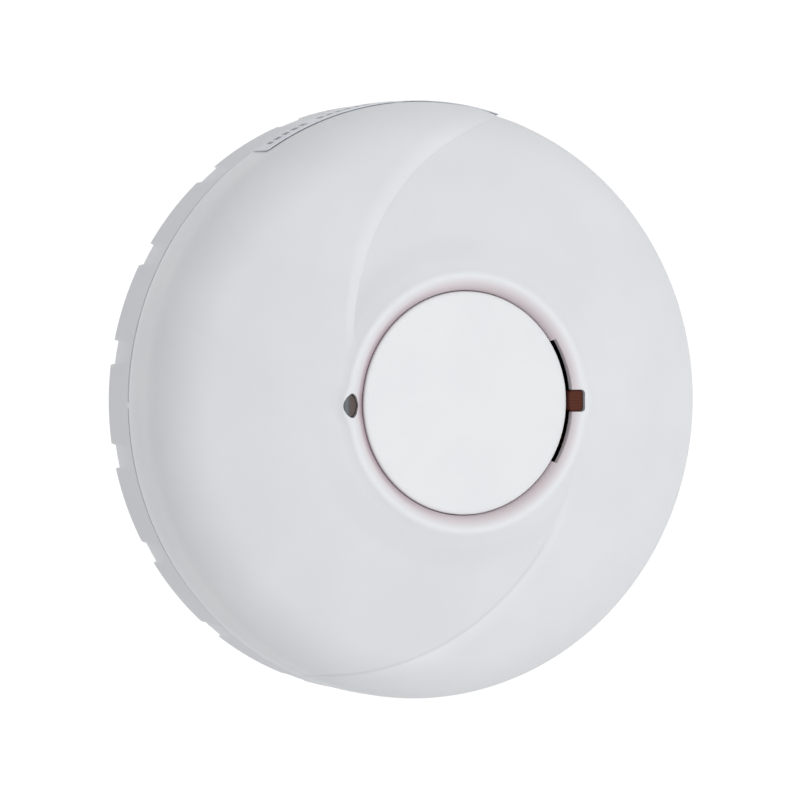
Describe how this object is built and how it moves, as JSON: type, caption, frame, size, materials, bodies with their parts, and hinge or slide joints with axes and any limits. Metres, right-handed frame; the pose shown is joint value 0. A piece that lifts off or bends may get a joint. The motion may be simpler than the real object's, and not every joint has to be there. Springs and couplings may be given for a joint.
{
  "type": "smoke alarm",
  "caption": "Round domed ceiling or wall smoke alarm with a large test button, twist-off mounting base and working inside parts.",
  "frame": {"origin": "centre of the rear rim of the mounting base, on the wall or ceiling plane", "axes": "+Z out of the wall along the twist axis, +X towards the tinted window, +Y up as shown"},
  "size_m": [0.1004, 0.1007, 0.0358],
  "materials": {
    "cover_plastic": "fine spark-eroded satin white",
    "base_plastic": "satin white, slightly cooler than the cover",
    "button_plastic": "fine satin white",
    "chassis_plastic": "plain moulded white",
    "black_plastic": "matt black",
    "clear_lens": "clear moulded light guide, polished ends",
    "tinted_lens": "dark red-brown tinted, finely ribbed",
    "board": "green solder mask",
    "label": "satin film with grey bars in place of print",
    "steel": "plated steel",
    "brass": "thin brass disc",
    "battery_sleeve": "shrink sleeve",
    "copper": "enamelled copper wire"
  },
  "bodies": {
    "mount": {"mounting_base": "base_plastic"},
    "alarm": {"front_cover": "cover_plastic", "warning_label": "label", "status_light_guide": "clear_lens", "tinted_window": "tinted_lens", "rear_chassis": "chassis_plastic", "case_screw_1": "steel", "case_screw_2": "steel", "case_screw_3": "steel", "case_screw_4": "steel", "circuit_board": "board", "board_screw_1": "steel", "board_screw_2": "steel", "board_screw_3": "steel", "board_screw_4": "steel", "smoke_chamber_base": "black_plastic", "smoke_chamber_cap": "black_plastic", "insect_screen": "steel", "infrared_emitter": "clear_lens", "photodiode": "black_plastic", "sounder_housing": "black_plastic", "piezo_disc": "brass", "sounder_contact_1": "steel", "sounder_contact_2": "steel", "battery": "battery_sleeve", "battery_tag_1": "steel", "battery_tag_2": "steel", "battery_strap": "chassis_plastic", "test_switch_body": "black_plastic", "power_switch_body": "black_plastic", "status_led": "clear_lens", "light_sensor": "black_plastic", "microcontroller": "black_plastic", "boost_coil": "copper", "capacitor_1": "black_plastic", "capacitor_2": "black_plastic", "button_spring": "steel"},
    "button": {"test_button": "button_plastic"},
    "plunger": {"test_switch_plunger": "base_plastic"},
    "slider": {"power_slider": "chassis_plastic"}
  },
  "joints": [
    {"name": "alarm_twist", "type": "hinge", "parent": "mount", "child": "alarm", "pos_m": [0, 0, 0], "axis": [0, 0, 1], "range_deg": [0, 15]},
    {"name": "button_press", "type": "slide", "parent": "alarm", "child": "button", "axis": [0, 0, -1], "range_m": [0, 0.0012], "stiffness_N_per_m": 1200, "springref_m": -0.002, "deforming": ["button_spring"]},
    {"name": "plunger_press", "type": "slide", "parent": "alarm", "child": "plunger", "axis": [0, 0, -1], "range_m": [0, 0.0012]},
    {"name": "power_slide", "type": "slide", "parent": "alarm", "child": "slider", "axis": [0, 1, 0], "range_m": [0, 0.00653]}
  ],
  "couplings": [
    {"joint": "plunger_press", "follows": "button_press", "ratio": 1},
    {"joint": "power_slide", "follows": "alarm_twist", "m_per_rad": 0.0249}
  ]
}
